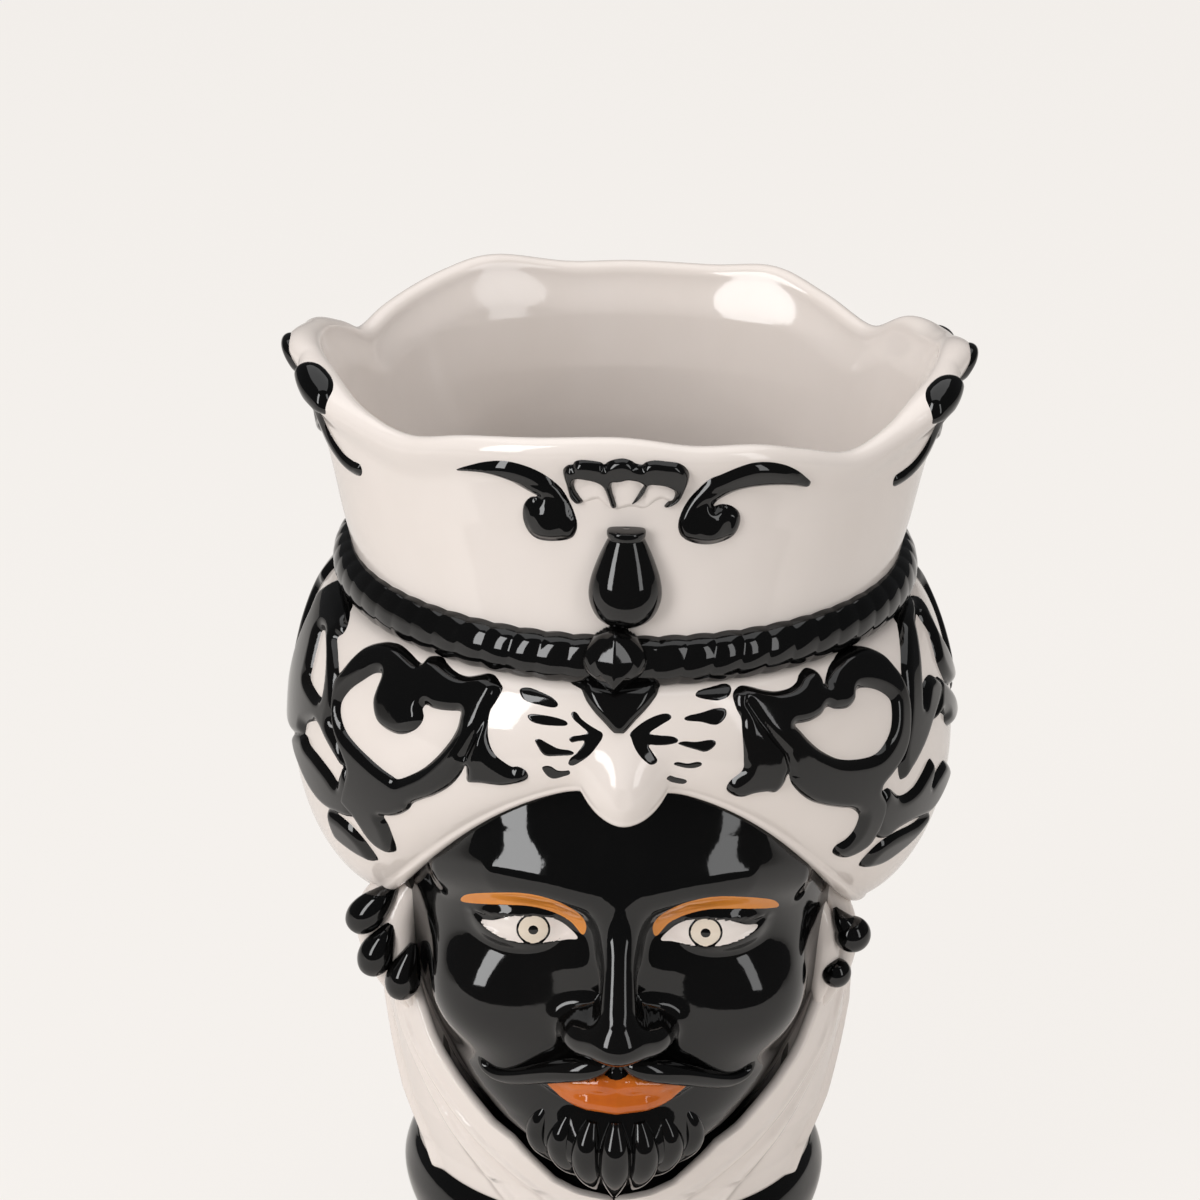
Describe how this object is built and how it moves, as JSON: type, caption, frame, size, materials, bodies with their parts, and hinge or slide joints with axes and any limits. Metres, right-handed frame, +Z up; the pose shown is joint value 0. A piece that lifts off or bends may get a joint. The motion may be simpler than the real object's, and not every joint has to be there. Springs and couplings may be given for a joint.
{
  "type": "face vase",
  "caption": "Glazed ceramic vase in the shape of a bearded head with a veil, a swelling turban with arabesques and a scalloped crown for its mouth.",
  "frame": {"origin": "middle of the foot, on the surface the vase stands on", "axes": "+Z up, -Y out of the face, +X to the viewer's right when looking at the face"},
  "size_m": [0.2202, 0.2136, 0.3465],
  "materials": {
    "white_glaze": "glossy white glaze with painted black marks",
    "black_glaze": "glossy black glaze"
  },
  "bodies": {
    "root": {"foot_base": "white_glaze", "collar": "black_glaze", "neck": "black_glaze", "veil": "white_glaze", "turban": "white_glaze", "face": "black_glaze", "crown": "white_glaze", "crown_band": "black_glaze", "turban_scroll_front_left": "black_glaze", "turban_scroll_front_right": "black_glaze", "turban_scroll_side_left": "black_glaze", "turban_scroll_side_right": "black_glaze", "turban_scroll_back_left": "black_glaze", "turban_scroll_back_right": "black_glaze", "crown_scroll_left": "black_glaze", "crown_scroll_right": "black_glaze", "crown_palmette": "black_glaze", "corner_curl_front_left": "black_glaze", "corner_curl_front_right": "black_glaze", "corner_curl_middle_left": "black_glaze", "corner_curl_middle_right": "black_glaze", "corner_curl_back_left": "black_glaze", "corner_curl_back_right": "black_glaze", "crown_drop": "black_glaze", "band_jewel": "black_glaze", "band_pendant": "black_glaze", "brow_fold": "white_glaze", "ear_left": "white_glaze", "ear_right": "white_glaze", "earring_drops_left": "black_glaze", "earring_drops_right": "black_glaze", "moustache": "black_glaze", "beard": "black_glaze"}
  },
  "joints": []
}
